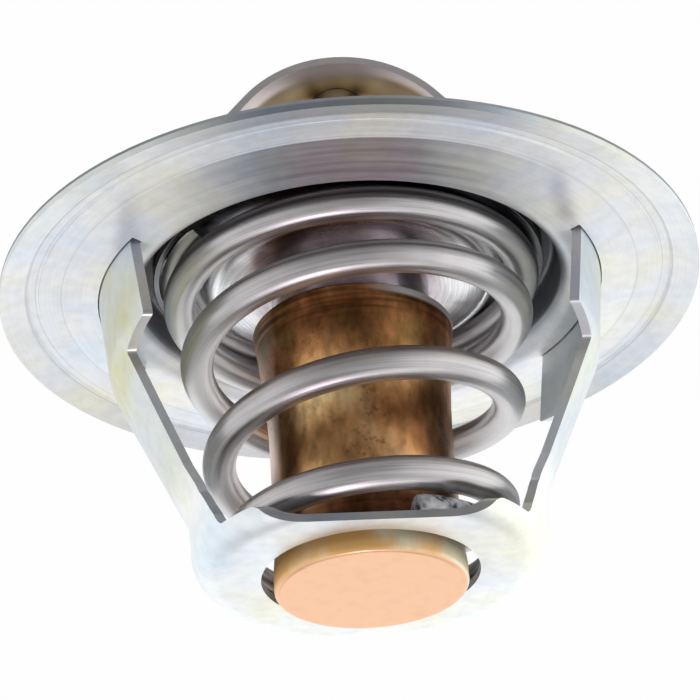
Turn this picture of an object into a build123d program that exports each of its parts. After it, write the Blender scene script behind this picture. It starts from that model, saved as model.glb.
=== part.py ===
from build123d import *
from math import asin, atan2, cos, hypot, pi, radians, sin, tan
import os

os.makedirs("parts", exist_ok=True)

# Engine coolant valve that a wax capsule opens. Sizes in mm, +Z up, standing on the capsule's end.

# Sheet, wire and fits
flange_sheet = 0.7
frame_sheet = 0.6
bridge_sheet = 0.6
plate_sheet = 0.8
wire_diameter = 2.5
running_fit = 0.05
free_gap = 0.3
slot_gap = 0.1
fold_bend = 0.3

# Lower frame's heads, which set the sizes of what sits inside and outside them
frame_head_radius = 19.41
head_play = 2.51
neck_inner = frame_head_radius - frame_sheet - head_play
neck_outer = neck_inner + flange_sheet
slot_outer = frame_head_radius + slot_gap
slot_inner = frame_head_radius - frame_sheet - slot_gap

# Flange, heights of its underside
flange_rim_width = 2.0
flange_flat_width = 2.7
flange_cone_width = 4.4
lip_bend = 1.6
flange_flat_inner = neck_inner + lip_bend + flange_cone_width
flange_flat_outer = flange_flat_inner + flange_flat_width
flange_radius = flange_flat_outer + flange_rim_width
flange_rim_z = 24.4
rim_drop = 0.6
cone_rise = 0.65
flange_flat_z = flange_rim_z + rim_drop
flange_lip_z = flange_flat_z - cone_rise
cone_slope = cone_rise / flange_cone_width
groove_width = 1.1
groove_depth = 0.15
seat_bend = 0.5
seat_width = 2.9
seat_hole = neck_inner - seat_width

# Valve plate and its rubber ring
plate_play = 1.1
plate_flat_width = 3.1
plate_hub_cone = 1.25
plate_dish = 1.35
plate_bend = 0.6
seal_width = 2.2
seal_height = 0.7
plate_rise = 2.15
plate_z = flange_rim_z + plate_rise
plate_radius = neck_inner - plate_play
plate_flat_inner = plate_radius - plate_flat_width
plate_hub_radius = plate_flat_inner - plate_hub_cone
plate_hub_z = plate_z - plate_dish
seal_inner = plate_radius - seal_width
seal_bottom = plate_z + plate_sheet
seat_z = seal_bottom + seal_height

# Piston stack, which stays with the bridge
piston_radius = 2.0
plug_radius = piston_radius + 1.0
plug_length = 4.0
washer_thickness = 0.6
piston_edge = 0.25
plug_bore = plug_radius + running_fit
piston_bore = piston_radius + running_fit

# Capsule
cup_body_radius = 6.92
cup_end_step = 0.23
cup_end_round = 0.4
cup_end_height = 1.5
cup_waist_z = 4.0
cup_end_radius = cup_body_radius + cup_end_step
collar_step = 0.78
collar_radius = cup_body_radius + collar_step
collar_edge = 0.25
collar_flare_height = 9.0
collar_flare_sag = 0.12
cup_wall = 0.77
cup_floor = 1.0
cup_bore = cup_body_radius - cup_wall
crimp_thickness = 0.6
collar_wall = 0.9
clamp_radius = collar_radius - collar_wall
diaphragm_thickness = 1.0
guide_flange = 1.6
crimp_play = 0.2

# Guide on the capsule
guide_step = 0.7
guide_body_radius = clamp_radius - guide_step
crimp_inner = guide_body_radius + crimp_play
guide_hub_radius = guide_body_radius - guide_step
guide_lip_width = 0.6
guide_lip_height = 0.5
guide_wall = 1.15
guide_nose_radius = plug_bore + guide_wall
guide_body_height = 3.4
guide_edge = 0.4
guide_mouth = 3.7
collar_top_z = plate_hub_z - guide_body_height
crimp_z = collar_top_z - crimp_thickness
clamp_top = crimp_z - guide_flange
diaphragm_z = clamp_top - diaphragm_thickness
collar_flare_z = collar_top_z - collar_flare_height
plug_z = clamp_top + free_gap
washer_z = plug_z + plug_length
piston_z = washer_z + washer_thickness
valve_travel = 8.0
bore_spare = 0.8
plug_bore_z = piston_z + valve_travel + bore_spare
guide_nose_z = plug_bore_z + guide_mouth

# Upper bridge, its outer face
bridge_head_room = 6.7
bridge_top_z = guide_nose_z + bridge_head_room
bridge_crown_radius = 10.0
bridge_knee_rise = 0.08
bridge_leg_gap = 0.3
bridge_leg_x = neck_outer + bridge_leg_gap + bridge_sheet
bridge_knee_z = seat_z + bridge_knee_rise
bridge_leg_bend = 2.0
bridge_half_width = 5.5
bridge_foot_width = 2.59
bridge_foot_radius = frame_head_radius + bridge_foot_width
bridge_foot_half_angle = 33.0
bridge_socket_depth = 0.35

# Lower frame, its outer face
frame_bottom_z = 1.2
collar_play = 0.37
frame_hole_radius = collar_radius + collar_play
frame_ring_width = 2.73
frame_flat_radius = frame_hole_radius + frame_ring_width
frame_cup_bend = 2.2
frame_cup_height = 5.1
frame_cup_top_z = frame_bottom_z + frame_cup_height
frame_cup_lean = 0.2
frame_cup_top_radius = frame_flat_radius + frame_cup_bend + frame_cup_lean
frame_head_height = 6.1
frame_head_z = flange_rim_z
frame_shoulder_z = frame_head_z - frame_head_height
frame_head_lean = 0.71
frame_shoulder_radius = frame_head_radius - frame_head_lean
frame_neck_bend = 4.0
frame_shoulder_bend = 3.0
near_trim = 1.1
far_spare = 0.9
frame_near_edge = frame_flat_radius - near_trim
frame_far_edge = frame_flat_radius + far_spare
frame_turn = 5.0
frame_corner = 0.4
head_half_angle = 30.0
head_half_width = frame_head_radius * sin(radians(head_half_angle))
head_edge_rise = 0.1
head_edge_z = frame_shoulder_z + head_edge_rise
head_dip = 1.0
head_dip_z = head_edge_z - head_dip
head_dip_half_width = 5.85
neck_half_width = 5.2
neck_drop = 4.4
neck_z = head_dip_z - neck_drop
neck_low_half_width = 4.6
neck_low_rise = 2.2
neck_low_z = frame_cup_top_z + neck_low_rise
skirt_half_width = 4.7
skirt_z = frame_cup_top_z
skirt_low_half_width = 6.3
skirt_drop = 2.6
skirt_low_z = frame_cup_top_z - skirt_drop
foot_edge_rise = 1.45
foot_edge_z = frame_bottom_z + foot_edge_rise
foot_corner_half_width = 6.8
lug_inner_angle = 20.0
lug_spare_angle = 0.5
lug_outer_angle = head_half_angle + lug_spare_angle
lug_hole_gap_angle = 0.4
lug_end_gap_angle = 1.0
lug_fold = 1.7

# Main spring, from the top tip down
spring_bottom_z = frame_bottom_z + frame_sheet
spring_turn_count = 4.795
spring_tip_angle = -142.0
spring_edge = 0.45
spring_top_radius = plate_radius - wire_diameter / 2 - spring_edge
spring_foot_gap = 1.2
spring_bottom_radius = frame_flat_radius - spring_foot_gap
spring_tip_cover = 0.7
spring_foot_cover = 0.17
coil_gap = 0.1
closed_pitch = wire_diameter + coil_gap
opening_start_turn = 0.9
opening_end_turn = 2.4
closing_start_turn = 3.53
closing_end_turn = 4.03
cone_start_turn = 0.4
cone_end_turn = 4.6
points_per_turn = 14


def bent_side(points, bends, shift):
    # One face of a bent sheet: the points moved sideways by shift, with rounded corners.
    count = len(points)
    normals = []
    for i in range(count - 1):
        run = (points[i + 1][0] - points[i][0], points[i + 1][1] - points[i][1])
        length = (run[0] ** 2 + run[1] ** 2) ** 0.5
        normals.append((-run[1] / length, run[0] / length))
    moved = []
    for i in range(count):
        a = normals[max(i - 1, 0)]
        b = normals[min(i, count - 2)]
        scale = shift / (1 + a[0] * b[0] + a[1] * b[1])
        moved.append((points[i][0] + (a[0] + b[0]) * scale, points[i][1] + (a[1] + b[1]) * scale))
    edges = []
    start = moved[0]
    for i in range(1, count - 1):
        a = normals[i - 1]
        b = normals[i]
        turn = atan2(a[0] * b[1] - a[1] * b[0], a[0] * b[0] + a[1] * b[1])
        if bends[i - 1] == 0:
            edges.append(Line(start, moved[i]))
            start = moved[i]
            continue
        radius = bends[i - 1] - shift if turn > 0 else bends[i - 1] + shift
        back = radius * tan(abs(turn) / 2)
        side = 1 if turn > 0 else -1
        before = (moved[i][0] - a[1] * back, moved[i][1] + a[0] * back)
        after = (moved[i][0] + b[1] * back, moved[i][1] - b[0] * back)
        centre = (before[0] + a[0] * radius * side, before[1] + a[1] * radius * side)
        out = (moved[i][0] - centre[0], moved[i][1] - centre[1])
        far = (out[0] ** 2 + out[1] ** 2) ** 0.5
        middle = (centre[0] + out[0] / far * radius, centre[1] + out[1] / far * radius)
        edges.append(Line(start, before))
        edges.append(ThreePointArc(before, middle, after))
        start = after
    edges.append(Line(start, moved[-1]))
    return edges, moved[0], moved[-1]


def bent_sheet(points, bends, sheet):
    # The section of a bent sheet; points run along one face and the sheet lies to their left.
    first, first_start, first_end = bent_side(points, bends, 0)
    second, second_start, second_end = bent_side(points, bends, sheet)
    caps = [Line(first_end, second_end), Line(first_start, second_start)]
    return make_face(first + second + caps)


def turned(section):
    # A section drawn as (radius, height), turned all the way round Z.
    return revolve(Plane.XZ * section, Axis.Z)


def outline(points):
    return make_face(Polyline(*points, close=True))


def sector(section, half_angle):
    part = revolve(Plane.XZ * section, Axis.Z, 2 * half_angle)
    return part.rotate(Axis.Z, -half_angle)


def rounded(points, radius):
    return make_face(FilletPolyline(*points, radius=radius, close=True))


def save(part, name):
    export_step(part, f"parts/{name}.step")


def cone_z(radius):
    # Height of the flange's underside on its shallow cone.
    return flange_lip_z + (radius - neck_inner - lip_bend) * cone_slope


def on_flange(radius, above):
    # Height above the flange's upper side, for sheets that lie on the cone.
    return cone_z(radius) + flange_sheet * (1 + cone_slope ** 2) ** 0.5 + above


# Flange: rim turned down, flat ring, shallow cone, neck and valve seat
flange_points = [
    (flange_radius, flange_rim_z),
    (flange_flat_outer, flange_flat_z),
    (flange_flat_inner, flange_flat_z),
    (neck_inner, cone_z(neck_inner)),
    (neck_inner, seat_z),
    (seat_hole, seat_z),
]
flange = turned(bent_sheet(flange_points[::-1], [seat_bend, lip_bend, 0, 0], flange_sheet))
flange &= Cylinder(flange_radius, 4 * seat_z)
slot_half_angle = lug_outer_angle + lug_end_gap_angle
slot_section = outline([
    (slot_inner, flange_rim_z - 3),
    (slot_outer, flange_rim_z - 3),
    (slot_outer, flange_flat_z + 2),
    (slot_inner, flange_flat_z + 2),
])
slot_side = sector(slot_section, slot_half_angle).rotate(Axis.Z, frame_turn)
for turn in (0, 180):
    flange -= slot_side.rotate(Axis.Z, turn)
groove_inner = flange_flat_outer - groove_width
flange -= turned(outline([
    (groove_inner, flange_flat_z - groove_depth),
    (flange_flat_outer, flange_flat_z - groove_depth),
    (flange_flat_outer - groove_depth, flange_flat_z + groove_depth),
    (groove_inner + groove_depth, flange_flat_z + groove_depth),
]))
save(flange, "flange")

# Lower frame: a formed shell trimmed to a foot, two necks and two heads
foot_top = on_flange(slot_outer, bridge_sheet)
frame_points = [
    (frame_hole_radius, frame_bottom_z),
    (frame_flat_radius + frame_cup_bend, frame_bottom_z),
    (frame_cup_top_radius, frame_cup_top_z),
    (frame_shoulder_radius, frame_shoulder_z),
    (frame_head_radius, frame_head_z),
    (frame_head_radius, foot_top),
]
frame_bends = [frame_cup_bend, frame_neck_bend, frame_shoulder_bend, 0]
shell = turned(bent_sheet(frame_points, frame_bends, frame_sheet))
for side, foot_edge in ((-1, frame_near_edge), (1, frame_far_edge)):
    window = [
        (head_half_width, foot_top + 2),
        (head_half_width, head_edge_z),
        (head_dip_half_width, head_dip_z),
        (neck_half_width, neck_z),
        (neck_low_half_width, neck_low_z),
        (skirt_half_width, skirt_z),
        (skirt_low_half_width, skirt_low_z),
        (foot_corner_half_width, foot_edge_z),
        (foot_edge, foot_edge_z),
        (foot_edge, frame_bottom_z - 2),
        (2 * frame_head_radius, frame_bottom_z - 2),
        (2 * frame_head_radius, foot_top + 2),
    ]
    cutter = rounded([(side * y, z) for y, z in window], frame_corner)
    shell -= extrude(Plane.YZ * cutter, 2 * frame_head_radius, both=True)
lower_frame = shell
lug_cut_z = on_flange(slot_inner, 0)
lug_band = outline([
    (slot_inner - 1, lug_cut_z),
    (slot_outer + 1, lug_cut_z),
    (slot_outer + 1, foot_top + 2),
    (slot_inner - 1, foot_top + 2),
])
lower_frame -= sector(lug_band, lug_inner_angle)
lower_frame -= sector(lug_band, lug_inner_angle).rotate(Axis.Z, 180)
fold_inner = frame_head_radius - frame_sheet
fold_outer = frame_head_radius + lug_fold
fold_section = outline([
    (fold_inner, on_flange(fold_inner, bridge_sheet)),
    (fold_outer, on_flange(fold_outer, bridge_sheet)),
    (fold_outer, on_flange(fold_outer, bridge_sheet) + frame_sheet),
    (fold_inner, on_flange(fold_inner, bridge_sheet) + frame_sheet),
])
lug_half = (lug_outer_angle - lug_inner_angle) / 2
lug_middle = (lug_outer_angle + lug_inner_angle) / 2
for turn in (lug_middle, -lug_middle, 180 + lug_middle, 180 - lug_middle):
    lower_frame += sector(fold_section, lug_half).rotate(Axis.Z, turn)
lower_frame = lower_frame.rotate(Axis.Z, frame_turn)
save(lower_frame, "lower_frame")

# Upper bridge: a bent strap on two feet that the frame's lugs hold down
crown_centre_z = bridge_top_z - bridge_crown_radius
knee_depth = bridge_knee_z - crown_centre_z
knee_reach = hypot(bridge_leg_x, knee_depth)
slope = asin(bridge_crown_radius / knee_reach) - atan2(knee_depth, bridge_leg_x)
peak_z = crown_centre_z + bridge_crown_radius / cos(slope)
strap_end_z = flange_lip_z
strap_points = [
    (bridge_leg_x, strap_end_z),
    (bridge_leg_x, bridge_knee_z),
    (0, peak_z),
    (-bridge_leg_x, bridge_knee_z),
    (-bridge_leg_x, strap_end_z),
]
strap_section = bent_sheet(strap_points, [bridge_leg_bend, bridge_crown_radius, bridge_leg_bend], bridge_sheet)
strap = extrude(Plane.XZ * strap_section, bridge_half_width, both=True)
foot_section = outline([
    (bridge_leg_x - bridge_sheet, flange_lip_z),
    (bridge_foot_radius, flange_lip_z),
    (bridge_foot_radius, on_flange(bridge_foot_radius, bridge_sheet)),
    (bridge_leg_x - bridge_sheet, on_flange(bridge_leg_x - bridge_sheet, bridge_sheet)),
])
foot = sector(foot_section, bridge_foot_half_angle)
lug_hole_section = outline([
    (slot_inner, flange_lip_z),
    (slot_outer, flange_lip_z),
    (slot_outer, foot_top + 1),
    (slot_inner, foot_top + 1),
])
hole_inner_angle = lug_inner_angle - lug_hole_gap_angle
hole_half = (slot_half_angle - hole_inner_angle) / 2
hole_middle = (slot_half_angle + hole_inner_angle) / 2
for middle in (hole_middle, -hole_middle):
    foot -= sector(lug_hole_section, hole_half).rotate(Axis.Z, middle)
under_foot = turned(outline([
    (0, 0),
    (flange_radius, 0),
    (flange_radius, on_flange(flange_radius, 0)),
    (neck_outer + 1.2, on_flange(neck_outer + 1.2, 0)),
    (neck_outer + slot_gap, on_flange(neck_outer + 1.2, 0) + 1.1),
    (neck_outer + slot_gap, seat_z + flange_sheet + slot_gap),
    (0, seat_z + flange_sheet + slot_gap),
]))
upper_bridge = strap + foot + foot.rotate(Axis.Z, 180) - under_foot
socket_z = bridge_top_z - bridge_sheet + bridge_socket_depth
socket = Cylinder(piston_radius + running_fit, 2, align=(Align.CENTER, Align.CENTER, Align.MAX))
upper_bridge -= Pos(0, 0, socket_z) * socket
upper_bridge = upper_bridge.rotate(Axis.Z, frame_turn)
save(upper_bridge, "upper_bridge")

# Valve plate: dished hub, and a flat rim that carries the spring below and the ring above
plate_points = [
    (guide_hub_radius + running_fit, plate_hub_z),
    (plate_hub_radius, plate_hub_z),
    (plate_flat_inner, plate_z),
    (plate_radius, plate_z),
]
valve_plate = turned(bent_sheet(plate_points, [plate_bend + plate_sheet, plate_bend], plate_sheet))
save(valve_plate, "valve_plate")

seal_section = outline([
    (seal_inner, seal_bottom),
    (plate_radius, seal_bottom),
    (plate_radius, seat_z),
    (seal_inner, seat_z),
])
save(turned(seal_section), "valve_seal")

# Capsule: cup, wax and diaphragm, closed by the guide that the cup's rim is rolled over
cup_side = [
    Line((0, 0), (cup_end_radius - cup_end_round, 0)),
    RadiusArc((cup_end_radius - cup_end_round, 0), (cup_end_radius, cup_end_round), -cup_end_round),
    Line((cup_end_radius, cup_end_round), (cup_end_radius, cup_end_height)),
    Line((cup_end_radius, cup_end_height), (cup_body_radius, cup_waist_z)),
    Line((cup_body_radius, cup_waist_z), (cup_body_radius, collar_flare_z)),
]
collar_low_z = collar_top_z - collar_edge
flare_middle = (
    (cup_body_radius + collar_radius) / 2 - collar_flare_sag,
    (collar_flare_z + collar_low_z) / 2,
)
cup_side.append(ThreePointArc((cup_body_radius, collar_flare_z), flare_middle, (collar_radius, collar_low_z)))
cup_side.append(Polyline(
    (collar_radius, collar_low_z),
    (collar_radius - collar_edge, collar_top_z),
    (crimp_inner, collar_top_z),
    (crimp_inner, crimp_z),
    (clamp_radius, crimp_z),
    (clamp_radius, diaphragm_z),
    (cup_bore, diaphragm_z),
    (cup_bore, cup_floor),
    (0, cup_floor),
    (0, 0),
))
cup_section = make_face(cup_side)
save(turned(cup_section), "capsule_cup")

wax_section = outline([
    (0, cup_floor),
    (cup_bore, cup_floor),
    (cup_bore, diaphragm_z),
    (0, diaphragm_z),
])
save(turned(wax_section), "wax_charge")

diaphragm_section = outline([
    (0, diaphragm_z),
    (clamp_radius, diaphragm_z),
    (clamp_radius, clamp_top),
    (0, clamp_top),
])
save(turned(diaphragm_section), "diaphragm")

hub_top = plate_hub_z + plate_sheet
guide_section = outline([
    (plug_bore, clamp_top),
    (clamp_radius, clamp_top),
    (clamp_radius, crimp_z),
    (guide_body_radius, crimp_z),
    (guide_body_radius, plate_hub_z),
    (guide_hub_radius, plate_hub_z),
    (guide_hub_radius, hub_top),
    (guide_hub_radius + guide_lip_width, hub_top),
    (guide_hub_radius + guide_lip_width, hub_top + guide_lip_height),
    (guide_nose_radius + 0.6, hub_top + guide_lip_height + 0.6),
    (guide_nose_radius, hub_top + guide_lip_height + 1.4),
    (guide_nose_radius, guide_nose_z - guide_edge),
    (guide_nose_radius - guide_edge, guide_nose_z),
    (piston_bore, guide_nose_z),
    (piston_bore, plug_bore_z),
    (plug_bore, plug_bore_z),
])
save(turned(guide_section), "capsule_guide")

# Piston with the rubber plug and the washer under it
save(Pos(0, 0, plug_z + plug_length / 2) * Cylinder(plug_radius, plug_length), "force_plug")
save(Pos(0, 0, washer_z + washer_thickness / 2) * Cylinder(plug_radius, washer_thickness), "backup_washer")
piston_section = outline([
    (0, piston_z),
    (piston_radius - piston_edge, piston_z),
    (piston_radius, piston_z + piston_edge),
    (piston_radius, socket_z - piston_edge),
    (piston_radius - piston_edge, socket_z),
    (0, socket_z),
])
save(turned(piston_section), "piston")


def smooth(value, start, end):
    x = min(max((value - start) / (end - start), 0.0), 1.0)
    return x * x * (3 - 2 * x)


# Main spring: conical, closed and ground flat at both ends
spring_drop = plate_z + spring_tip_cover - spring_bottom_z - spring_foot_cover
open_turns = (closing_start_turn + closing_end_turn - opening_start_turn - opening_end_turn) / 2
extra_pitch = (spring_drop - closed_pitch * spring_turn_count) / open_turns
steps = round(spring_turn_count * points_per_turn)
path_points = []
drop = 0.0
last_pitch = closed_pitch
for i in range(steps + 1):
    turn = spring_turn_count * i / steps
    opening = smooth(turn, opening_start_turn, opening_end_turn)
    closing = smooth(turn, closing_start_turn, closing_end_turn)
    pitch = closed_pitch + extra_pitch * (opening - closing)
    if i > 0:
        drop += (pitch + last_pitch) / 2 * spring_turn_count / steps
    last_pitch = pitch
    inward = smooth(turn, cone_start_turn, cone_end_turn)
    radius = spring_top_radius - (spring_top_radius - spring_bottom_radius) * inward
    angle = radians(spring_tip_angle) - 2 * pi * turn
    path_points.append((radius * cos(angle), radius * sin(angle), plate_z + spring_tip_cover - drop))
wire_path = Spline(*path_points)
wire_plane = Plane(origin=wire_path @ 0, z_dir=wire_path % 0)
wire = sweep(wire_plane * Circle(wire_diameter / 2), path=wire_path, is_frenet=True)
spring_height = plate_z - spring_bottom_z
band = Cylinder(plate_radius, spring_height, align=(Align.CENTER, Align.CENTER, Align.MIN))
main_spring = wire & (Pos(0, 0, spring_bottom_z) * band)
save(main_spring, "main_spring")
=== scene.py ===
import math
import bpy
import numpy as np
from mathutils import Euler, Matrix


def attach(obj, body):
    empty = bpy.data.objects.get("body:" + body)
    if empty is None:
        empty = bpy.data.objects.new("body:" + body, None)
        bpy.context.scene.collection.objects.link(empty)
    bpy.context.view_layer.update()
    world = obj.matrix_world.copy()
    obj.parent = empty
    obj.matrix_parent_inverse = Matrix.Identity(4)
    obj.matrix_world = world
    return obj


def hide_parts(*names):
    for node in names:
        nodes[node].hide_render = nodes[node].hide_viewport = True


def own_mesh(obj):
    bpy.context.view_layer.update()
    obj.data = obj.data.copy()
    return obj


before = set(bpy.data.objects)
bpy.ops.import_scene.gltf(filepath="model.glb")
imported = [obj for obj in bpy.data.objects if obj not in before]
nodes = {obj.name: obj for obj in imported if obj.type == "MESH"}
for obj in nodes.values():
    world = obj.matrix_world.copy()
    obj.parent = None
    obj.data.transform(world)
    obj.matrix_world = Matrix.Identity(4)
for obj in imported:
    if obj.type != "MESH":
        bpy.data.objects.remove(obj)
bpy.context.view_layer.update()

mm = 0.001


# shader helpers: each adds nodes to a tree and returns the output socket; places and spans are in metres
def newMaterial(name):
    material = bpy.data.materials.new(name)
    material.use_nodes = True
    tree = material.node_tree
    return material, tree, tree.nodes["Principled BSDF"]


def noiseNode(tree, scale, detail, stretch=(1, 1, 1), offset=(0, 0, 0)):
    coords = tree.nodes.new("ShaderNodeTexCoord")
    mapping = tree.nodes.new("ShaderNodeMapping")
    mapping.inputs["Scale"].default_value = stretch
    mapping.inputs["Location"].default_value = offset
    tree.links.new(coords.outputs["Object"], mapping.inputs["Vector"])
    return noiseOn(tree, mapping.outputs["Vector"], scale, detail)


def noiseOn(tree, vector, scale, detail):
    noise = tree.nodes.new("ShaderNodeTexNoise")
    noise.inputs["Scale"].default_value = scale
    noise.inputs["Detail"].default_value = detail
    tree.links.new(vector, noise.inputs["Vector"])
    return noise.outputs["Fac"]


def rampNode(tree, source, stops):
    ramp = tree.nodes.new("ShaderNodeValToRGB")
    elements = ramp.color_ramp.elements
    while len(elements) < len(stops):
        elements.new(0.5)
    for element, (place, colour) in zip(elements, stops):
        element.position = place
        element.color = (*colour, 1)
    tree.links.new(source, ramp.inputs["Fac"])
    return ramp.outputs["Color"]


def greyStops(stops):
    return [(place, (value,) * 3) for place, value in stops]


def mixNode(tree, factor, first, second, blend="MIX"):
    mix = tree.nodes.new("ShaderNodeMix")
    mix.data_type = "RGBA"
    mix.blend_type = blend
    for socket, value in ((mix.inputs[0], factor), (mix.inputs[6], first), (mix.inputs[7], second)):
        if isinstance(value, (int, float)):
            socket.default_value = value
        elif isinstance(value, tuple):
            socket.default_value = (*value, 1)
        else:
            tree.links.new(value, socket)
    return mix.outputs[2]


def mathNode(tree, operation, first, second=0.0, third=0.0):
    node = tree.nodes.new("ShaderNodeMath")
    node.operation = operation
    for socket, value in zip(node.inputs, (first, second, third)):
        if isinstance(value, (int, float)):
            socket.default_value = value
        else:
            tree.links.new(value, socket)
    return node.outputs[0]


def both(tree, first, second, *others):
    # the product of masks and shares
    product = mathNode(tree, "MULTIPLY", first, second)
    for other in others:
        product = mathNode(tree, "MULTIPLY", product, other)
    return product


def offLine(tree, value, place):
    # distance of a coordinate from a place
    return mathNode(tree, "ABSOLUTE", mathNode(tree, "SUBTRACT", value, place))


def easeNode(tree, value, span):
    # 0 at the span's first number, 1 at its second, smooth between
    node = tree.nodes.new("ShaderNodeMapRange")
    node.interpolation_type = "SMOOTHSTEP"
    node.inputs["From Min"].default_value = span[0]
    node.inputs["From Max"].default_value = span[1]
    tree.links.new(value, node.inputs["Value"])
    return node.outputs["Result"]


def splitNode(tree, vector):
    split = tree.nodes.new("ShaderNodeSeparateXYZ")
    tree.links.new(vector, split.inputs["Vector"])
    return split.outputs["X"], split.outputs["Y"], split.outputs["Z"]


def placeNode(tree):
    return tree.nodes.new("ShaderNodeTexCoord").outputs["Object"]


def axesOf(tree):
    return splitNode(tree, placeNode(tree))


def normalNode(tree):
    return tree.nodes.new("ShaderNodeNewGeometry").outputs["Normal"]


def attributeNode(tree, name):
    attribute = tree.nodes.new("ShaderNodeAttribute")
    attribute.attribute_name = name
    return attribute


inward = {"weights": (1, 1, -4), "span": (0.0, -0.004)}


def inwardNode(tree):
    # 1 where the surface faces the axis or upwards: the normal against the place, with height turned over
    outwards = tree.nodes.new("ShaderNodeVectorMath")
    outwards.operation = "MULTIPLY"
    outwards.inputs[1].default_value = inward["weights"]
    tree.links.new(placeNode(tree), outwards.inputs[0])
    along = tree.nodes.new("ShaderNodeVectorMath")
    along.operation = "DOT_PRODUCT"
    tree.links.new(normalNode(tree), along.inputs[0])
    tree.links.new(outwards.outputs["Vector"], along.inputs[1])
    return easeNode(tree, along.outputs["Value"], inward["span"])


def nearEdge(tree, span):
    # 1 on the cut edges that face the near side
    return easeNode(tree, splitNode(tree, normalNode(tree))[1], span)


def turningAxes(tree):
    # distance from the axis and angle about it
    x, y, z = axesOf(tree)
    squares = mathNode(tree, "ADD", mathNode(tree, "MULTIPLY", x, x), mathNode(tree, "MULTIPLY", y, y))
    return mathNode(tree, "SQRT", squares), mathNode(tree, "ARCTAN2", y, x)


def turnedLines(tree, fineness, reach):
    # noise drawn out along circles round the axis
    radius, angle = turningAxes(tree)
    join = tree.nodes.new("ShaderNodeCombineXYZ")
    tree.links.new(mathNode(tree, "MULTIPLY", radius, fineness), join.inputs["X"])
    tree.links.new(mathNode(tree, "SINE", angle), join.inputs["Y"])
    tree.links.new(mathNode(tree, "COSINE", angle), join.inputs["Z"])
    return noiseOn(tree, join.outputs["Vector"], reach, 3.0)


def bumpNode(tree, source, distance, strength=1.0):
    bump = tree.nodes.new("ShaderNodeBump")
    bump.inputs["Distance"].default_value = distance
    bump.inputs["Strength"].default_value = strength
    tree.links.new(source, bump.inputs["Height"])
    return bump.outputs["Normal"]


def retint(material, factor, colour, blend="MULTIPLY"):
    # mixes one more colour into a material's base colour
    tree = material.node_tree
    socket = tree.nodes["Principled BSDF"].inputs["Base Color"]
    before = socket.links[0].from_socket
    tree.links.new(mixNode(tree, factor, before, colour, blend), socket)


def roughNoise(tree, shader, noise, rough):
    grey = rampNode(tree, noiseNode(tree, *noise), greyStops([(0.3, rough[0]), (0.7, rough[1])]))
    tree.links.new(grey, shader.inputs["Roughness"])


# noises as scale, detail, stretch and offset
metalNoise = {"tint": (150, 4), "rough": (450, 3)}
sheetNoise = {"cloud": (120, 5), "dust": (900, 3, (1, 1, 1), (3, 1, 2)), "rough": (200, 4), "grain": (2500, 3)}
sheetDust = [(0.35, 0.93), (0.6, 1.0)]
sheetGrain = {"distance": 0.00001, "strength": 0.6}


def plainMetal(name, look):
    material, tree, shader = newMaterial(name)
    shader.inputs["Metallic"].default_value = 1.0
    tint = rampNode(tree, noiseNode(tree, *metalNoise["tint"]), look["tint"])
    tree.links.new(tint, shader.inputs["Base Color"])
    roughNoise(tree, shader, metalNoise["rough"], look["rough"])
    return material


def platedSheet(name, look):
    # cloudy plating with faint dust and a very fine grain
    material, tree, shader = newMaterial(name)
    shader.inputs["Metallic"].default_value = look["metallic"]
    dust = rampNode(tree, noiseNode(tree, *sheetNoise["dust"]), greyStops(sheetDust))
    tint = rampNode(tree, noiseNode(tree, *sheetNoise["cloud"]), look["tint"])
    tree.links.new(mixNode(tree, 1.0, tint, dust, "MULTIPLY"), shader.inputs["Base Color"])
    roughNoise(tree, shader, sheetNoise["rough"], look["rough"])
    grain = bumpNode(tree, noiseNode(tree, *sheetNoise["grain"]), **sheetGrain)
    tree.links.new(grain, shader.inputs["Normal"])
    return material


# mesh helpers, sizes in mm
def easeBetween(value, span):
    x = np.clip((value - span[0]) / (span[1] - span[0]), 0, 1)
    return x * x * (3 - 2 * x)


def runningLength(steps):
    return np.concatenate([[0], np.cumsum(steps)])


def tubeFaces(rows, columns):
    # quads along a closed tube, and one face on each end
    i = np.arange(rows - 1)[:, None]
    j = np.arange(columns)[None, :]
    following = (j + 1) % columns
    corners = (i * columns + j, i * columns + following, (i + 1) * columns + following, (i + 1) * columns + j)
    quads = np.stack(corners, -1).reshape(-1, 4).tolist()
    start = list(range(columns))
    end = list(range((rows - 1) * columns, rows * columns))[::-1]
    return quads + [start, end]


def makePiece(name, points, faces, material, body, sharp):
    mesh = bpy.data.meshes.new(name)
    mesh.from_pydata((points.reshape(-1, 3) * mm).tolist(), [], faces)
    mesh.validate()
    mesh.shade_smooth()
    mesh.set_sharp_from_angle(angle=math.radians(sharp))
    mesh.materials.append(material)
    piece = bpy.data.objects.new(name, mesh)
    bpy.context.collection.objects.link(piece)
    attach(piece, body)
    return piece


# angles in degrees, the distance within which points merge in metres
edges = {"mergeWithin": 1e-7, "sharp": 35, "bevelAngle": 45, "bevelSegments": 3}


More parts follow.
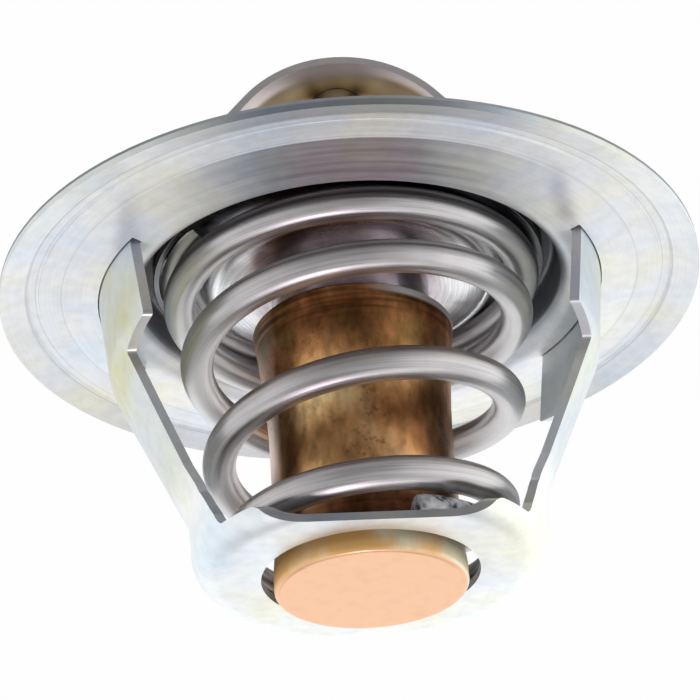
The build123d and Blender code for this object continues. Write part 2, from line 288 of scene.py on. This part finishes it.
def dressedCopy(node, material, body, rounding):
    # the node's own surface with its doubles merged, smooth faces and slightly rounded edges
    source = nodes[node]
    points = np.empty(len(source.data.vertices) * 3)
    source.data.vertices.foreach_get("co", points)
    matrix = np.array(source.matrix_world)
    points = points.reshape(-1, 3) @ matrix[:3, :3].T + matrix[:3, 3]
    corners = np.empty(len(source.data.loops), dtype=int)
    source.data.loops.foreach_get("vertex_index", corners)
    first, inverse = np.unique(
        np.round(points / edges["mergeWithin"]), axis=0, return_index=True, return_inverse=True)[1:]
    triangles = inverse.reshape(-1)[corners].reshape(-1, 3)
    a, b, c = triangles.T
    good = (a != b) & (b != c) & (a != c)
    piece = makePiece(
        node + "Dressed", points[first] / mm, triangles[good].tolist(), material, body,
        sharp=edges["sharp"])
    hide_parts(node)
    bevel = piece.modifiers.new("bevel", "BEVEL")
    bevel.width = rounding * mm
    bevel.segments = edges["bevelSegments"]
    bevel.limit_method = "ANGLE"
    bevel.angle_limit = math.radians(edges["bevelAngle"])
    bevel.harden_normals = True
    return piece


def wear(node, material):
    # the solid's own exact surface, with a better material
    for place in nodes[node].material_slots:
        place.material = material


# main spring: a round wire on a cone, closed and ground at both ends
spring = {
    "wire": 2.5, "turns": 4.795, "tipAngle": -142.0, "topRadius": 13.5, "bottomRadius": 9.6,
    "topZ": 26.55, "bottomZ": 1.8, "tipCover": 0.7, "closedPitch": 2.6, "openPitch": 8.615,
    "opening": (0.9, 2.4), "closing": (3.53, 4.03), "cone": (0.4, 4.6),
    "rows": 700, "columns": 40, "endShrink": 0.93, "sharp": 40, "travel": 8.0,
    "lineRound": 7, "lineAlong": 0.12, "coatFrom": (7.0, 6.0),
    "tintNoise": (220, 4), "tint": [(0.3, (0.56, 0.54, 0.55)), (0.7, (0.70, 0.68, 0.68))],
    "lineNoise": (1.0, 4.0), "lineDepth": 0.000012,
    "lineTint": [(0.32, (0.72, 0.70, 0.71)), (0.6, (1, 1, 1))],
    "paleX": (0.007, 0.0125), "paleShare": 0.35, "pale": (0.90, 0.93, 0.92),
    "brownRound": (-2.0, 3.5), "brownZ": (0.0225, 0.0190), "brownX": (0.0125, 0.0080),
    "overCupZ": (0.0070, 0.0105), "brown": (0.54, 0.47, 0.41),
    "coatNoise": (1300, 4),
    "coat": [(0.36, (0.05, 0.05, 0.05)), (0.46, (0.36, 0.36, 0.37)), (0.7, (0.60, 0.61, 0.63))],
    "coatRough": (0.7, 0.7, 0.7), "metallic": 0.92, "coatMetallic": 0.30,
    "lowZ": (0.0036, 0.0026), "lowShade": (0.22, 0.2, 0.2), "rough": [(0.35, 0.30), (0.65, 0.42)],
}
springMaterial, tree, shader = newMaterial("springSteel")
wirePlace = attributeNode(tree, "wireSpace").outputs["Vector"]
drawnLines = noiseOn(tree, wirePlace, *spring["lineNoise"])
x, y, z = axesOf(tree)
aside = mathNode(tree, "ABSOLUTE", x)
tint = rampNode(tree, noiseNode(tree, *spring["tintNoise"]), spring["tint"])
tint = mixNode(tree, 1.0, tint, rampNode(tree, drawnLines, spring["lineTint"]), "MULTIPLY")
# painted sheen: paler and more neutral towards both sides
sideSheen = both(tree, easeNode(tree, aside, spring["paleX"]), spring["paleShare"])
tint = mixNode(tree, sideSheen, tint, spring["pale"])
# painted shade on the upper side of the open coils, brown, most of all over the cup
upperShade = both(
    tree, easeNode(tree, splitNode(tree, wirePlace)[1], spring["brownRound"]),
    easeNode(tree, z, spring["brownZ"]), easeNode(tree, aside, spring["brownX"]))
shadeOverCup = mathNode(tree, "MULTIPLY_ADD", easeNode(tree, z, spring["overCupZ"]), 0.5, 0.5)
tint = mixNode(tree, both(tree, upperShade, shadeOverCup), tint, spring["brown"], "MULTIPLY")
# a grey coat with dark specks on the lower end
onCoat = attributeNode(tree, "lowerEnd").outputs["Fac"]
tint = mixNode(tree, onCoat, tint, rampNode(tree, noiseNode(tree, *spring["coatNoise"]), spring["coat"]))
# painted shade low on the bottom turn, where it faces the axis or upwards
low = both(tree, easeNode(tree, z, spring["lowZ"]), inwardNode(tree))
tree.links.new(mixNode(tree, low, tint, spring["lowShade"], "MULTIPLY"), shader.inputs["Base Color"])
lessMetal = spring["coatMetallic"] - spring["metallic"]
tree.links.new(mathNode(tree, "MULTIPLY_ADD", onCoat, lessMetal, spring["metallic"]), shader.inputs["Metallic"])
rough = rampNode(tree, drawnLines, greyStops(spring["rough"]))
tree.links.new(mixNode(tree, onCoat, rough, spring["coatRough"]), shader.inputs["Roughness"])
tree.links.new(bumpNode(tree, drawnLines, spring["lineDepth"]), shader.inputs["Normal"])

# the wire's centre line goes round the axis while its height falls by the pitch summed over the turns and its
# radius eases from the top's to the bottom's; the pitch eases from closed to open and back to closed
turns = np.linspace(0, spring["turns"], spring["rows"])
opened = easeBetween(turns, spring["opening"]) - easeBetween(turns, spring["closing"])
pitch = spring["closedPitch"] + (spring["openPitch"] - spring["closedPitch"]) * opened
drop = runningLength((pitch[1:] + pitch[:-1]) / 2 * np.diff(turns))
centreZ = spring["topZ"] + spring["tipCover"] - drop
centreR = spring["topRadius"] - (spring["topRadius"] - spring["bottomRadius"]) * easeBetween(turns, spring["cone"])
theta = math.radians(spring["tipAngle"]) - 2 * math.pi * turns
line = np.stack([centreR * np.cos(theta), centreR * np.sin(theta), centreZ], 1)
tangent = np.gradient(line, axis=0)
tangent /= np.linalg.norm(tangent, axis=1)[:, None]
outward = np.stack([np.cos(theta), np.sin(theta), np.zeros_like(theta)], 1)
outward -= tangent * (outward * tangent).sum(1)[:, None]
outward /= np.linalg.norm(outward, axis=1)[:, None]
upward = np.cross(tangent, outward)
# a circle of the wire's radius stands square to the line in each row, a little smaller in the end rows, and
# is cut flat at the two ground planes
ring = np.linspace(0, 2 * math.pi, spring["columns"], endpoint=False)
offsets = outward[:, None] * np.cos(ring)[None, :, None] + upward[:, None] * np.sin(ring)[None, :, None]
wireRadius = np.full(spring["rows"], spring["wire"] / 2)
wireRadius[[0, -1]] *= spring["endShrink"]
tube = line[:, None] + offsets * wireRadius[:, None, None]
tube[..., 2] = np.clip(tube[..., 2], spring["bottomZ"], spring["topZ"])
mainSpring = makePiece(
    "mainSpring", tube, tubeFaces(spring["rows"], spring["columns"]), springMaterial, "housing",
    sharp=spring["sharp"])
# where each point is round the wire and along it, for the drawing lines, and how far it is on the coated end
alongWire = runningLength(np.linalg.norm(np.diff(line, axis=0), axis=1))
wireSpace = np.empty(tube.shape)
wireSpace[..., 0] = spring["lineRound"] * np.cos(ring)
wireSpace[..., 1] = spring["lineRound"] * np.sin(ring)
wireSpace[..., 2] = spring["lineAlong"] * alongWire[:, None]
lowerEnd = easeBetween(alongWire, [alongWire[-1] - reach for reach in spring["coatFrom"]])
lowerEnd = np.repeat(lowerEnd, spring["columns"])
attributes = mainSpring.data.attributes
attributes.new("wireSpace", "FLOAT_VECTOR", "POINT").data.foreach_set("vector", wireSpace.ravel())
attributes.new("lowerEnd", "FLOAT", "POINT").data.foreach_set("value", lowerEnd)
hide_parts("main_spring")
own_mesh(mainSpring)
print("spring done")

# flange: satin plate with turned lines; on the near side painted shade makes the cone grey-purple and the rim
# greyer
platingTint = [(0.34, (0.84, 0.93, 1.0)), (0.5, (0.94, 0.97, 0.98)), (0.66, (0.97, 0.985, 0.86))]
flange = {
    "tint": platingTint, "rough": (0.34, 0.46), "metallic": 0.4,
    "nearY": (-0.003, -0.013), "nearMidX": 0.001, "nearX": (0.0165, 0.004),
    "lines": (1100, 1.5), "lineTint": [(0.3, (0.84, 0.84, 0.85)), (0.6, (1, 1, 1))],
    "fineLines": (3200, 2.0), "fineTint": [(0.3, (0.90, 0.90, 0.91)), (0.6, (1, 1, 1))], "fineShare": 0.6,
    "coneInner": (0.0155, 0.0165), "coneOuter": (0.0222, 0.0220),
    "coneNoise": (110, 4), "coneShade": [(0.4, (0.38, 0.38, 0.38)), (0.6, (0.46, 0.46, 0.45))],
    "purpleX": (0.0062, 0.0030), "purpleShare": 0.9, "purple": (0.36, 0.31, 0.34),
    "coneLines": [(0.35, 0.8), (0.65, 1.2)], "coneLineShare": 0.7,
    "rimRadius": (0.02505, 0.0252), "rimTint": (0.56, 0.57, 0.60),
    "bends": ((0.0250, 0.00012, 0.5), (0.0223, 0.00010, 0.3), (0.02425, 0.00008, 0.35)),
    "bendShade": (0.42, 0.43, 0.48),
    "creaseLean": 0.19, "creaseX": 0.0184, "creaseWidth": 0.0013, "creaseShare": 0.6,
    "creaseFromY": (-0.0175, -0.0135), "creaseToY": (-0.0085, -0.0105), "creaseShade": (0.56, 0.53, 0.60),
    "wallRadius": (0.02693, 0.02697), "wallZ": (0.02485, 0.02495),
    "sideWallShading": [(0.0, (0.88, 0.90, 0.88)), (1.0, (0.26, 0.26, 0.27))],
    "nearWallShading": [(0.0, (0.46, 0.48, 0.54)), (1.0, (0.74, 0.74, 0.78))],
    "neckRadius": (0.0174, 0.0164), "neckY": (0.0035, -0.003), "neckShade": (0.34, 0.33, 0.34),
    "seatRadius": (0.01645, 0.01635), "seatShade": (0.42, 0.41, 0.42),
}
flangeZinc = platedSheet("flangeZinc", flange)
tree = flangeZinc.node_tree
radius = turningAxes(tree)[0]
x, y, z = axesOf(tree)
near = both(
    tree, easeNode(tree, y, flange["nearY"]),
    easeNode(tree, offLine(tree, x, flange["nearMidX"]), flange["nearX"]))
lines = turnedLines(tree, *flange["lines"])
retint(flangeZinc, near, rampNode(tree, lines, flange["lineTint"]))
fineLines = turnedLines(tree, *flange["fineLines"])
retint(flangeZinc, flange["fineShare"], rampNode(tree, fineLines, flange["fineTint"]))
# painted shade: grey-purple on the near side of the cone, with turned lines in it
onCone = both(tree, easeNode(tree, radius, flange["coneInner"]), easeNode(tree, radius, flange["coneOuter"]))
coneShade = rampNode(tree, noiseNode(tree, *flange["coneNoise"]), flange["coneShade"])
purpleZone = easeNode(tree, offLine(tree, x, flange["nearMidX"]), flange["purpleX"])
coneShade = mixNode(tree, both(tree, purpleZone, flange["purpleShare"]), coneShade, flange["purple"])
coneLines = rampNode(tree, lines, greyStops(flange["coneLines"]))
coneShade = mixNode(tree, flange["coneLineShare"], coneShade, coneLines, "MULTIPLY")
retint(flangeZinc, both(tree, onCone, near), coneShade)
# painted shade: a greyer rim on the near side
retint(flangeZinc, both(tree, easeNode(tree, radius, flange["rimRadius"]), near), flange["rimTint"])
# thin painted shade lines at the bends
for place, width, depth in flange["bends"]:
    onBend = easeNode(tree, offLine(tree, radius, place), (width, 0.0))
    retint(flangeZinc, both(tree, onBend, depth), flange["bendShade"])
# a soft painted shade along the crease outward from the near end of each slot
creaseX = mathNode(tree, "MULTIPLY_ADD", y, flange["creaseLean"], flange["creaseX"])
creaseOff = offLine(tree, mathNode(tree, "ABSOLUTE", x), creaseX)
crease = both(
    tree, easeNode(tree, creaseOff, (flange["creaseWidth"], 0.0)), easeNode(tree, y, flange["creaseFromY"]),
    easeNode(tree, y, flange["creaseToY"]))
retint(flangeZinc, both(tree, crease, flange["creaseShare"]), flange["creaseShade"])
# painted shade on the rim's outer wall, changing with height, and on the neck and the seat
wallHigh = easeNode(tree, z, flange["wallZ"])
wallShading = mixNode(
    tree, near, rampNode(tree, wallHigh, flange["sideWallShading"]), rampNode(tree, wallHigh, flange["nearWallShading"]))
retint(flangeZinc, easeNode(tree, radius, flange["wallRadius"]), wallShading)
onNeck = both(tree, easeNode(tree, radius, flange["neckRadius"]), easeNode(tree, y, flange["neckY"]))
retint(flangeZinc, onNeck, flange["neckShade"])
retint(flangeZinc, easeNode(tree, radius, flange["seatRadius"]), flange["seatShade"])
wear("flange", flangeZinc)
print("flange done")

# bridge: its underside is purple-grey at the near edge, then olive and brown
bridge = {
    "tint": [(0.34, (0.89, 0.94, 0.98)), (0.5, (0.94, 0.96, 0.97)), (0.66, (0.97, 0.98, 0.92))],
    "rough": (0.4, 0.5), "metallic": 1.0, "rounding": 0.2,
    "underFacing": (0.05, -0.2), "middleY": (-0.0055, 0.0),
    "tintPatch": [
        (0.05, (0.88, 0.80, 0.80)), (0.25, (0.76, 0.64, 0.50)), (0.5, (0.74, 0.55, 0.28)),
        (0.8, (0.36, 0.23, 0.10)), (0.95, (0.75, 0.42, 0.18)),
    ],
    "sidesX": (0.0015, 0.0050), "sidesFrom": (0.08, 0.3), "sidesTint": (0.28, 0.20, 0.11),
    "edgeFacing": (-0.6, -0.85), "edgeTint": (0.58, 0.55, 0.56),
}
bridgeZinc = platedSheet("bridgeZinc", bridge)
tree = bridgeZinc.node_tree
x, y, z = axesOf(tree)
towardsMiddle = easeNode(tree, y, bridge["middleY"])
sides = both(
    tree, easeNode(tree, mathNode(tree, "ABSOLUTE", x), bridge["sidesX"]),
    easeNode(tree, towardsMiddle, bridge["sidesFrom"]))
tintPatch = mixNode(tree, sides, rampNode(tree, towardsMiddle, bridge["tintPatch"]), bridge["sidesTint"])
under = easeNode(tree, splitNode(tree, normalNode(tree))[2], bridge["underFacing"])
retint(bridgeZinc, under, tintPatch, "MIX")
# painted shade: greyer cut edges that face the near side
retint(bridgeZinc, nearEdge(tree, bridge["edgeFacing"]), bridge["edgeTint"])
dressedCopy("upper_bridge", bridgeZinc, "housing", bridge["rounding"])
print("bridge done")

# lower frame: painted shade greys the legs and the cut edges and darkens the inside of the foot; a yellow stain on
# the left head
lowerFrame = {
    "tint": platingTint, "rough": (0.36, 0.5), "metallic": 1.0, "rounding": 0.22,
    "edgeFacing": (-0.6, -0.85), "edgeTint": (0.76, 0.75, 0.77),
    "headZ": (0.0150, 0.0170), "headEdgeShade": (0.68, 0.66, 0.68),
    "footFacing": (-0.88, -0.95), "footZ": (0.0030, 0.0020), "footEdgeShade": (0.62, 0.61, 0.62),
    "legZ": (0.0060, 0.0100), "legShade": (0.80, 0.81, 0.81),
    "stainX": (-0.0150, -0.0172), "stainFromZ": (0.0150, 0.0165), "stainToZ": (0.0225, 0.0195),
    "stainNoise": (260, 3), "stainSpan": (0.25, 0.6), "tintPatch": (0.95, 0.92, 0.66),
    "insideZ": (0.0045, 0.003), "insideShade": (0.36, 0.35, 0.36),
}
zinc = platedSheet("zincPlate", lowerFrame)
tree = zinc.node_tree
x, y, z = axesOf(tree)
# painted shade on the cut edges that face the near side, more on the heads and at the foot
cutEdge = nearEdge(tree, lowerFrame["edgeFacing"])
retint(zinc, cutEdge, lowerFrame["edgeTint"])
retint(zinc, both(tree, cutEdge, easeNode(tree, z, lowerFrame["headZ"])), lowerFrame["headEdgeShade"])
shadedFootEdge = both(tree, nearEdge(tree, lowerFrame["footFacing"]), easeNode(tree, z, lowerFrame["footZ"]))
retint(zinc, shadedFootEdge, lowerFrame["footEdgeShade"])
# painted shade on the legs' faces
shadedLegFaces = both(tree, easeNode(tree, z, lowerFrame["legZ"]), mathNode(tree, "SUBTRACT", 1.0, cutEdge))
retint(zinc, shadedLegFaces, lowerFrame["legShade"])
stainCloud = easeNode(tree, noiseNode(tree, *lowerFrame["stainNoise"]), lowerFrame["stainSpan"])
stained = both(
    tree, easeNode(tree, x, lowerFrame["stainX"]), easeNode(tree, z, lowerFrame["stainFromZ"]),
    easeNode(tree, z, lowerFrame["stainToZ"]), stainCloud)
retint(zinc, stained, lowerFrame["tintPatch"])
# painted shade inside the foot, where the faces look towards the axis or upwards
inside = both(tree, inwardNode(tree), easeNode(tree, z, lowerFrame["insideZ"]))
retint(zinc, inside, lowerFrame["insideShade"])
dressedCopy("lower_frame", zinc, "housing", lowerFrame["rounding"])
print("lower frame done")

# valve plate and the guide on it: purple-grey with turned lines, paler at both sides with a painted highlight,
# dark at the plate's rim
plate = {
    "tint": [(0.3, (0.52, 0.47, 0.50)), (0.7, (0.66, 0.61, 0.64))], "rough": (0.18, 0.3), "rounding": 0.08,
    "sideX": (0.006, 0.009), "sideShare": 0.85, "sideHighlight": (0.90, 0.95, 0.97),
    "rimRadius": (0.0121, 0.0124), "rimTint": (0.2, 0.2, 0.21),
    "lines": (2600, 2.0), "lineShare": 0.6,
    "lineTint": [(0.36, (0.78, 0.74, 0.76)), (0.62, (1.2, 1.18, 1.18))],
}
guide = {"rounding": 0.06}
plateSteel = plainMetal("plateSteel", plate)
tree = plateSteel.node_tree
highlightSides = easeNode(tree, mathNode(tree, "ABSOLUTE", axesOf(tree)[0]), plate["sideX"])
retint(plateSteel, both(tree, highlightSides, plate["sideShare"]), plate["sideHighlight"], "MIX")
retint(plateSteel, easeNode(tree, turningAxes(tree)[0], plate["rimRadius"]), plate["rimTint"])
retint(plateSteel, plate["lineShare"], rampNode(tree, turnedLines(tree, *plate["lines"]), plate["lineTint"]))
dressedCopy("valve_plate", plateSteel, "valve", plate["rounding"])
dressedCopy("capsule_guide", plateSteel, "valve", guide["rounding"])
print("valve plate and guide done")

# pin and seal
piston = {"tint": [(0.3, (0.5, 0.47, 0.44)), (0.7, (0.6, 0.56, 0.52))], "rough": (0.3, 0.4)}
wear("piston", plainMetal("polishedPin", piston))
seal = {"colour": (0.02, 0.02, 0.02, 1), "rough": 0.6}
rubber, tree, shader = newMaterial("blackRubber")
shader.inputs["Base Color"].default_value = seal["colour"]
shader.inputs["Roughness"].default_value = seal["rough"]
wear("valve_seal", rubber)
print("pin and seal done")

# wax cup: stained brass wall, dark where the foot's ring shades it, golden below, with a bare copper end
cup = {
    "radius": 0.0071, "patchNoise": (190, 5, (1, 1, 0.75)),
    "patchTint": [
        (0.32, (0.28, 0.15, 0.08)), (0.44, (0.52, 0.31, 0.15)), (0.54, (0.78, 0.51, 0.25)),
        (0.66, (1.0, 0.78, 0.46)),
    ],
    "wanderNoise": (300, 3, (1, 1, 0.3), (4, 1, 2)), "bandWander": 0.16,
    "reflectionBandTint": [
        (0.0, (1.0, 0.95, 1.0)), (0.06, (1.0, 0.92, 0.9)), (0.10, (0.42, 0.33, 0.28)), (0.16, (0.44, 0.35, 0.28)),
        (0.20, (1.0, 0.95, 0.85)), (0.45, (0.95, 0.88, 0.78)), (0.62, (0.72, 0.54, 0.44)),
        (0.80, (0.72, 0.56, 0.46)), (0.83, (0.40, 0.33, 0.28)), (0.93, (0.42, 0.34, 0.28)),
        (0.97, (0.85, 0.78, 0.75)),
    ],
    "highZ": (0.0125, 0.0175), "bandShare": 0.9, "bandShareHigh": 0.35,
    "grainNoise": (1100, 3, (1, 1, 0.5), (6, 2, 9)), "grainShare": 0.9,
    "grainTint": [(0.35, (0.66, 0.62, 0.60)), (0.62, (1.2, 1.15, 1.1))],
    "edgeHighlightMask": [(0.04, 0.95), (0.085, 0.0)], "edgeTint": (0.95, 0.78, 0.70),
    "highNoise": (240, 4, (1, 1, 1), (7, 2, 5)),
    "highTint": [(0.35, (0.62, 0.60, 0.46)), (0.5, (0.90, 0.72, 0.66)), (0.65, (1.2, 1.1, 0.9))],
    "shoulderZ": (0.0185, 0.0205), "shoulderNoise": (120, 3, (1, 1, 25)),
    "shoulderTint": [(0.4, (0.5, 0.42, 0.38)), (0.6, (1.25, 1.1, 1.0))],
    "groupNoise": (200, 2, (1, 1, 1), (3, 3, 1)), "speckMask": [(0.5, 0.0), (0.66, 0.5)],
    "speckNoise": (2300, 3, (1, 1, 1), (1, 4, 2)), "speckTint": [(0.36, (0.3, 0.22, 0.16)), (0.45, (1, 1, 1))],
    "shadedZ": (0.0068, 0.0054), "shadedShare": 0.9, "shadedTint": (0.22, 0.14, 0.16),
    "goldZ": (0.0028, 0.0019), "goldShare": 0.9, "goldMetallic": 0.35,
    "goldTint": [(0.42, (0.96, 0.55, 0.19)), (0.5, (1.0, 0.66, 0.34)), (0.57, (1.0, 0.90, 0.64))],
    "endZ": 0.00012, "endNoise": (700, 3), "endTint": [(0.33, (0.91, 0.52, 0.295)), (0.5, (0.956, 0.558, 0.318))],
    "collarZ": (0.0209, 0.0212), "collarX": (0.0005, 0.004), "collarHighlight": (1.0, 0.98, 0.96),
    "rough": (0.42, 0.42, 0.42), "endRough": (0.28, 0.28, 0.28),
}
brass, tree, shader = newMaterial("capsuleBrass")
x, y, z = axesOf(tree)
patches = noiseNode(tree, *cup["patchNoise"])
tint = rampNode(tree, patches, cup["patchTint"])
# painted reflections in upright bands across the near side: pale edge, dark, golden, red-brown, dark, brown edge
wanderNoise = noiseNode(tree, *cup["wanderNoise"])
wander = mathNode(tree, "MULTIPLY_ADD", wanderNoise, cup["bandWander"], -cup["bandWander"] / 2)
across = mathNode(tree, "MULTIPLY_ADD", x, 0.5 / cup["radius"], 0.5)
reflectionBands = rampNode(tree, mathNode(tree, "ADD", across, wander), cup["reflectionBandTint"])
high = easeNode(tree, z, cup["highZ"])
bandShare = mathNode(tree, "MULTIPLY_ADD", high, cup["bandShareHigh"] - cup["bandShare"], cup["bandShare"])
tint = mixNode(tree, bandShare, tint, reflectionBands, "MULTIPLY")
grain = rampNode(tree, noiseNode(tree, *cup["grainNoise"]), cup["grainTint"])
tint = mixNode(tree, cup["grainShare"], tint, grain, "MULTIPLY")
# a painted highlight along the left edge
tint = mixNode(tree, rampNode(tree, across, greyStops(cup["edgeHighlightMask"])), tint, cup["edgeTint"])
# darker, redder and more olive towards the shoulder, with turned lines on it
highTint = rampNode(tree, noiseNode(tree, *cup["highNoise"]), cup["highTint"])
tint = mixNode(tree, high, tint, highTint, "MULTIPLY")
shoulderTint = rampNode(tree, noiseNode(tree, *cup["shoulderNoise"]), cup["shoulderTint"])
tint = mixNode(tree, easeNode(tree, z, cup["shoulderZ"]), tint, shoulderTint, "MULTIPLY")
# small dark specks in groups
speckZone = rampNode(tree, noiseNode(tree, *cup["groupNoise"]), greyStops(cup["speckMask"]))
specks = rampNode(tree, noiseNode(tree, *cup["speckNoise"]), cup["speckTint"])
tint = mixNode(tree, speckZone, tint, specks, "MULTIPLY")
shaded = both(tree, easeNode(tree, z, cup["shadedZ"]), cup["shadedShare"])
tint = mixNode(tree, shaded, tint, cup["shadedTint"], "MULTIPLY")
onGold = easeNode(tree, z, cup["goldZ"])
tree.links.new(mathNode(tree, "MULTIPLY_ADD", onGold, cup["goldMetallic"] - 1.0, 1.0), shader.inputs["Metallic"])
tint = mixNode(tree, both(tree, onGold, cup["goldShare"]), tint, rampNode(tree, patches, cup["goldTint"]))
onEnd = mathNode(tree, "LESS_THAN", z, cup["endZ"])
tint = mixNode(tree, onEnd, tint, rampNode(tree, noiseNode(tree, *cup["endNoise"]), cup["endTint"]))
# a painted highlight on the right of the collar's rim
collarHighlightZone = both(tree, easeNode(tree, z, cup["collarZ"]), easeNode(tree, x, cup["collarX"]))
tree.links.new(mixNode(tree, collarHighlightZone, tint, cup["collarHighlight"]), shader.inputs["Base Color"])
tree.links.new(mixNode(tree, onEnd, cup["rough"], cup["endRough"]), shader.inputs["Roughness"])
wear("capsule_cup", brass)
print("cup done")

# floor that hides from below
floorLook = {"half": 0.6, "z": -0.0002, "colour": (0.86, 0.86, 0.87, 1), "rough": 0.8}
floorMaterial, tree, shader = newMaterial("paleFloor")
shader.inputs["Base Color"].default_value = floorLook["colour"]
shader.inputs["Roughness"].default_value = floorLook["rough"]
geometry = tree.nodes.new("ShaderNodeNewGeometry")
clear = tree.nodes.new("ShaderNodeBsdfTransparent")
either = tree.nodes.new("ShaderNodeMixShader")
tree.links.new(geometry.outputs["Backfacing"], either.inputs["Fac"])
tree.links.new(shader.outputs["BSDF"], either.inputs[1])
tree.links.new(clear.outputs["BSDF"], either.inputs[2])
tree.links.new(either.outputs["Shader"], tree.nodes["Material Output"].inputs["Surface"])
half = floorLook["half"]
floorCorners = [(x, y, floorLook["z"]) for x, y in ((-half, -half), (half, -half), (half, half), (-half, half))]
floorMesh = bpy.data.meshes.new("floor")
floorMesh.from_pydata(floorCorners, [], [(0, 1, 2, 3)])
floorMesh.materials.append(floorMaterial)
floor = bpy.data.objects.new("floor", floorMesh)
floor.visible_shadow = False
floor.visible_glossy = False
floor.visible_diffuse = False
bpy.context.collection.objects.link(floor)

# a soft pinkish light from below left for the streaks on the coils
lamp = {
    "place": (-0.03, -0.012, -0.35), "aim": (0, 0, 0.012), "size": 0.1, "power": 0.19,
    "colour": (1.0, 0.82, 0.93),
}
springLight = bpy.data.lights.new("springLight", "AREA")
springLight.shape = "DISK"
springLight.size = lamp["size"]
springLight.energy = lamp["power"]
springLight.color = lamp["colour"]
lampObject = bpy.data.objects.new("springLight", springLight)
lampObject.location = lamp["place"]
away = np.array(lamp["place"]) - np.array(lamp["aim"])
away /= np.linalg.norm(away)
lampObject.rotation_euler = (math.acos(away[2]), 0, math.atan2(away[0], -away[1]))
bpy.context.collection.objects.link(lampObject)

# light tent: its brightness follows the angle round the axis that runs left to right, from the back over the
# top, the camera's side and below to the back again, with one bright strip straight below; the left end and
# the right end each have one brightness
tentLook = {
    "radius": 0.8, "brightest": 1.8,
    "stops": [
        (0.0, 1.05), (0.15, 1.0), (0.25, 0.8), (0.36, 0.45), (0.42, 0.26), (0.5, 0.29), (0.555, 0.42),
        (0.63, 0.46), (0.665, 0.34), (0.70, 0.26), (0.718, 0.35), (0.726, 1.7), (0.765, 1.7), (0.775, 0.4),
        (0.80, 0.24), (0.86, 0.24), (0.885, 0.75), (0.92, 1.2),
    ],
    "endMask": [(0.35, 0.0), (0.85, 1.0)], "endStops": [(0.3, 0.95), (0.7, 1.25)],
}


def glowStops(stops):
    return greyStops([(place, value / tentLook["brightest"]) for place, value in stops])


tentMaterial, tree, shader = newMaterial("tent")
tree.nodes.remove(shader)
glow = tree.nodes.new("ShaderNodeEmission")
glow.inputs["Strength"].default_value = tentLook["brightest"]
tree.links.new(glow.outputs["Emission"], tree.nodes["Material Output"].inputs["Surface"])
unit = tree.nodes.new("ShaderNodeVectorMath")
unit.operation = "NORMALIZE"
tree.links.new(placeNode(tree), unit.inputs[0])
x, y, z = splitNode(tree, unit.outputs["Vector"])
around = mathNode(tree, "ARCTAN2", both(tree, z, -1.0), both(tree, y, -1.0))
share = mathNode(tree, "MULTIPLY_ADD", around, 0.5 / math.pi, 0.5)
tentGlow = rampNode(tree, share, glowStops(tentLook["stops"]))
endShare = rampNode(tree, mathNode(tree, "ABSOLUTE", x), greyStops(tentLook["endMask"]))
endGlow = rampNode(tree, mathNode(tree, "MULTIPLY_ADD", x, 0.5, 0.5), glowStops(tentLook["endStops"]))
tree.links.new(mixNode(tree, endShare, tentGlow, endGlow), glow.inputs["Color"])
bpy.ops.mesh.primitive_uv_sphere_add(segments=64, ring_count=32, radius=tentLook["radius"])
tent = bpy.context.active_object
tent.name = "tent"
tent.data.materials.append(tentMaterial)
tent.visible_camera = False
tent.visible_shadow = False

worldWhite = 0.99
world = bpy.data.worlds.new("paleRoom")
bpy.context.scene.world = world
world.use_nodes = True
world.node_tree.nodes["Background"].inputs["Color"].default_value = (1, 1, 1, 1)
world.node_tree.nodes["Background"].inputs["Strength"].default_value = worldWhite
bpy.context.scene.view_settings.view_transform = "Standard"
print("floor and lights done")

# camera where the photograph was taken: below the flange's plane, looking up
cameraLook = {
    "lens": 135.0, "sensor": 36.0, "nearClip": 0.01,
    "place": (0, -0.176238, -0.077146), "turn": (118.979, 3.699, 2.1526),
}
cameraData = bpy.data.cameras.new("camera")
cameraData.lens = cameraLook["lens"]
cameraData.sensor_width = cameraLook["sensor"]
cameraData.clip_start = cameraLook["nearClip"]
camera = bpy.data.objects.new("camera", cameraData)
camera.location = cameraLook["place"]
camera.rotation_euler = Euler([math.radians(angle) for angle in cameraLook["turn"]])
bpy.context.collection.objects.link(camera)
bpy.context.scene.camera = camera
print("camera done")
